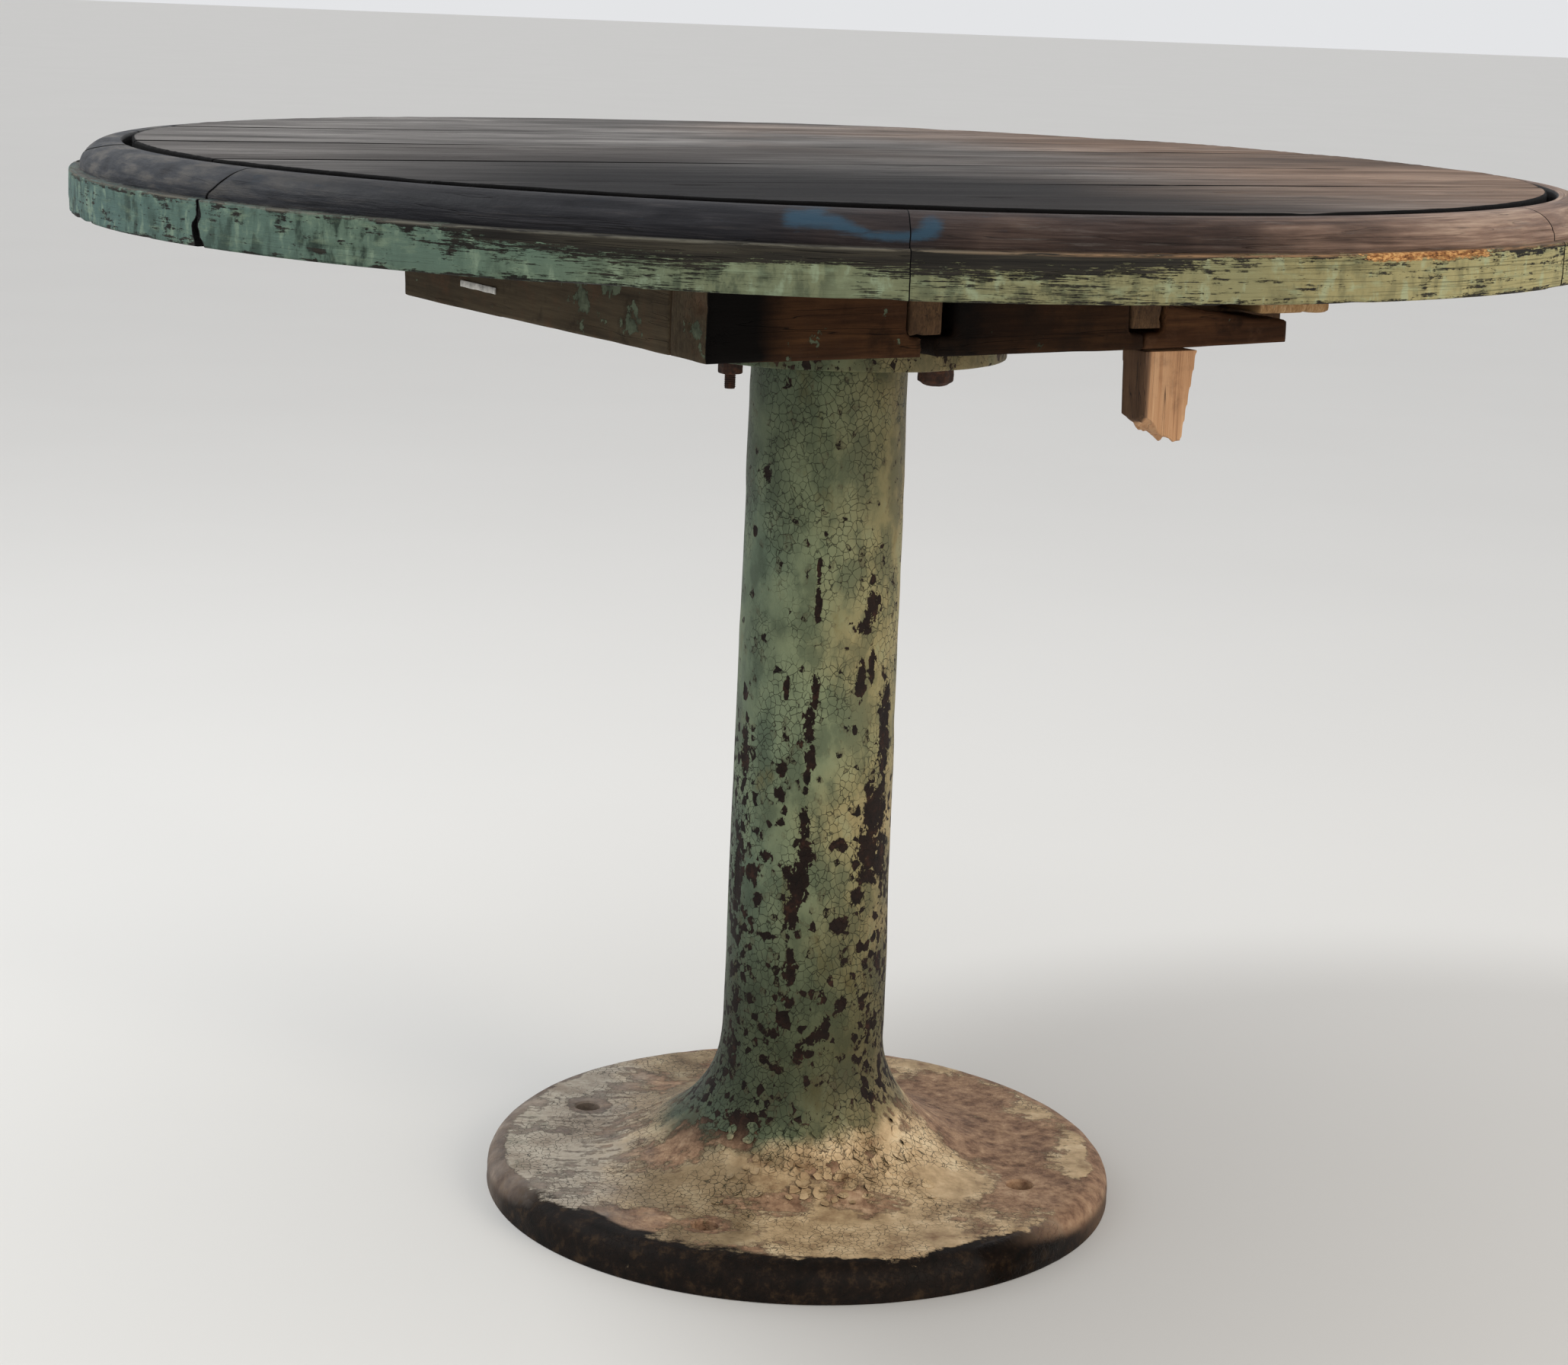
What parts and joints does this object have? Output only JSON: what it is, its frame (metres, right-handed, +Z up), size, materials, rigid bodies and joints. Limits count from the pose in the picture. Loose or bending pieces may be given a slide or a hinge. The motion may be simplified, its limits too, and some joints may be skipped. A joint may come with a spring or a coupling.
{
  "type": "banding wheel",
  "caption": "Table-height pedestal wheel: a round planked timber head that turns freely on a spindle in a hollow cast column with a round floor base.",
  "frame": {"origin": "on the floor, on the axis of the column, which is the axis the head turns about", "axes": "+Z up along the spindle; +X to the right and +Y away from the viewer who stands at the front"},
  "size_m": [1.036, 1.036, 0.75],
  "materials": {
    "painted_casting": "worn pale green gloss paint, crackled and chipped to dark iron",
    "painted_rim": "weathered green paint on timber, bare and darkened on the moulding",
    "deck_timber": "weathered dark grey-brown boards",
    "frame_timber": "dark red-brown matt timber with flakes of old paint",
    "joist_timber": "brown sawn timber",
    "peg_timber": "fresher pale brown timber",
    "rusty_steel": "rusted",
    "bright_steel": "oiled machined steel",
    "bush_bronze": "turned bronze",
    "pale_strip": "blank pale strip"
  },
  "bodies": {
    "pedestal": {"pedestal_casting": "painted_casting", "upper_bush": "bush_bronze", "lower_bush": "bush_bronze", "upper_thrust_washer": "bright_steel", "lower_thrust_washer": "bright_steel"},
    "head": {"spindle": "bright_steel", "hub_key": "bright_steel", "retaining_collar": "bright_steel", "collar_pin": "bright_steel", "spindle_washer": "bright_steel", "spindle_nut": "bright_steel", "hub_flange": "painted_casting", "hub_bolt": "rusty_steel", "hub_nut": "rusty_steel", "coach_screw_1": "rusty_steel", "coach_screw_2": "rusty_steel", "coach_screw_3": "rusty_steel", "front_bearer_left": "frame_timber", "front_bearer_middle": "frame_timber", "front_bearer_right": "frame_timber", "left_bearer": "frame_timber", "right_bearer": "joist_timber", "back_bearer": "frame_timber", "joist_1": "joist_timber", "joist_2": "joist_timber", "hub_board": "joist_timber", "turning_peg": "peg_timber", "bearer_strip": "pale_strip", "frame_screw_1": "bright_steel", "frame_screw_2": "bright_steel", "frame_screw_3": "bright_steel", "frame_screw_4": "bright_steel", "frame_screw_5": "bright_steel", "frame_screw_6": "bright_steel", "ring_segment_1": "painted_rim", "ring_segment_2": "painted_rim", "ring_segment_3": "painted_rim", "ring_segment_4": "painted_rim", "ring_segment_5": "painted_rim", "ring_segment_6": "painted_rim", "ring_segment_7": "painted_rim", "ring_screw_1": "bright_steel", "ring_screw_2": "bright_steel", "ring_screw_3": "bright_steel", "ring_screw_4": "bright_steel", "ring_screw_5": "bright_steel", "ring_screw_6": "bright_steel", "ring_screw_7": "bright_steel", "top_plank_1": "deck_timber", "top_plank_2": "deck_timber", "top_plank_3": "deck_timber", "top_plank_4": "deck_timber", "top_plank_5": "deck_timber"}
  },
  "joints": [
    {"name": "wheel_spin", "type": "hinge", "parent": "pedestal", "child": "head", "pos_m": [0, 0, 0.615], "axis": [0, 0, 1], "continuous": true}
  ]
}
